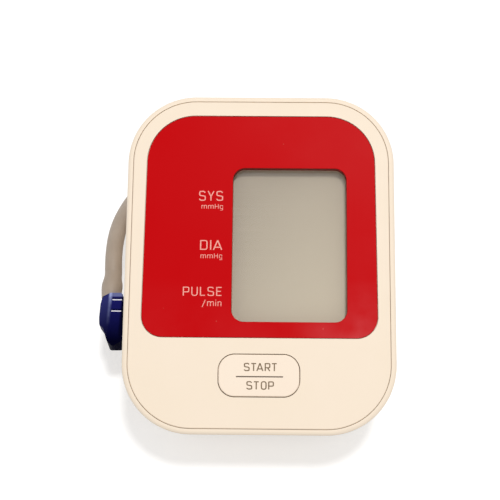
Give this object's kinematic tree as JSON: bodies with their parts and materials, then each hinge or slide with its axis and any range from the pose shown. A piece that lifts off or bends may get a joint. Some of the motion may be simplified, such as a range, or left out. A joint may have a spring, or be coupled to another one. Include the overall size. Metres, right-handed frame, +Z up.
{
  "type": "blood pressure monitor",
  "caption": "Home blood pressure monitor: a tapered tabletop case with a tilted face, display window in a red panel, press button, battery door and a pull-out air plug with its tube.",
  "frame": {"origin": "on the table under the middle of the case, without the air tube", "axes": "+X to the right seen from the front, +Y to the rear, +Z up"},
  "size_m": [0.1256, 0.1803, 0.08],
  "materials": {
    "cream_shell": "satin",
    "cream_button": "satin",
    "red_panel": "gloss",
    "clear_lens": "clear gloss",
    "display_glass": "satin",
    "white_plastic": "matte",
    "black_plastic": "matte",
    "grey_rubber": "matte",
    "board_green": "satin",
    "steel": "brushed",
    "cell_jacket": "satin",
    "motor_can": "satin",
    "inner_hose": "matte",
    "coil_wrap": "satin",
    "navy_plug": "gloss",
    "grey_tube": "satin",
    "tie_plastic": "matte"
  },
  "bodies": {
    "monitor": {"rear_case": "cream_shell", "front_cover": "cream_shell", "display_panel": "red_panel", "display_window": "clear_lens", "lcd_glass": "display_glass", "lcd_holder": "white_plastic", "air_manifold": "white_plastic", "pump_cap": "white_plastic", "pump_head": "white_plastic", "pump_cradle": "white_plastic", "control_chip": "black_plastic", "buzzer": "black_plastic", "switch_body": "black_plastic", "pressure_sensor": "black_plastic", "dc_socket": "black_plastic", "air_jack": "black_plastic", "contact_strip_low": "grey_rubber", "contact_strip_top": "grey_rubber", "foot_front_left": "grey_rubber", "foot_front_right": "grey_rubber", "foot_rear_left": "grey_rubber", "foot_rear_right": "grey_rubber", "jack_seal": "grey_rubber", "pump_diaphragm": "grey_rubber", "main_board": "board_green", "board_screw_low_left": "steel", "board_screw_low_right": "steel", "board_screw_top_left": "steel", "board_screw_top_right": "steel", "case_screw_front_left": "steel", "case_screw_front_right": "steel", "case_screw_rear_left": "steel", "case_screw_rear_right": "steel", "cell_contact_front_left": "steel", "cell_contact_front_right": "steel", "cell_contact_rear_left": "steel", "cell_contact_rear_middle": "steel", "cell_contact_rear_right": "steel", "valve_yoke": "steel", "cell_one": "cell_jacket", "cell_two": "cell_jacket", "cell_three": "cell_jacket", "cell_four": "cell_jacket", "pump_motor": "motor_can", "jack_line": "inner_hose", "valve_line": "inner_hose", "pump_line": "inner_hose", "valve_coil": "coil_wrap"},
    "button": {"start_button": "cream_button"},
    "stem": {"switch_stem": "black_plastic"},
    "door": {"battery_door": "cream_shell"},
    "crank": {"pump_crank": "white_plastic"},
    "armature": {"valve_armature": "steel"},
    "air_hose": {"air_plug": "navy_plug", "tube_collar": "grey_tube", "air_tube": "grey_tube", "tube_coil": "grey_tube", "tube_tie": "tie_plastic", "cuff_fitting": "grey_tube"}
  },
  "joints": [
    {"name": "button_press", "type": "slide", "parent": "monitor", "child": "button", "axis": [0, 0.342, -0.9397], "range_m": [0, 0.0008], "stiffness_N_per_m": 2000},
    {"name": "stem_press", "type": "slide", "parent": "monitor", "child": "stem", "axis": [0, 0.342, -0.9397], "range_m": [0, 0.0008]},
    {"name": "door_swing", "type": "hinge", "parent": "monitor", "child": "door", "pos_m": [0, -0.03105, 0.0019], "axis": [-1, 0, 0], "range_deg": [0, 75]},
    {"name": "plug_pull", "type": "slide", "parent": "monitor", "child": "air_hose", "axis": [-1, 0, 0], "range_m": [0, 0.012]},
    {"name": "crank_spin", "type": "hinge", "parent": "monitor", "child": "crank", "pos_m": [-0.0043, 0.042, 0.028], "axis": [1, 0, 0], "continuous": true},
    {"name": "armature_slide", "type": "slide", "parent": "monitor", "child": "armature", "axis": [-1, 0, 0], "range_m": [0, 0.0008], "stiffness_N_per_m": 200}
  ],
  "couplings": [
    {"joint": "stem_press", "follows": "button_press", "ratio": 1}
  ]
}
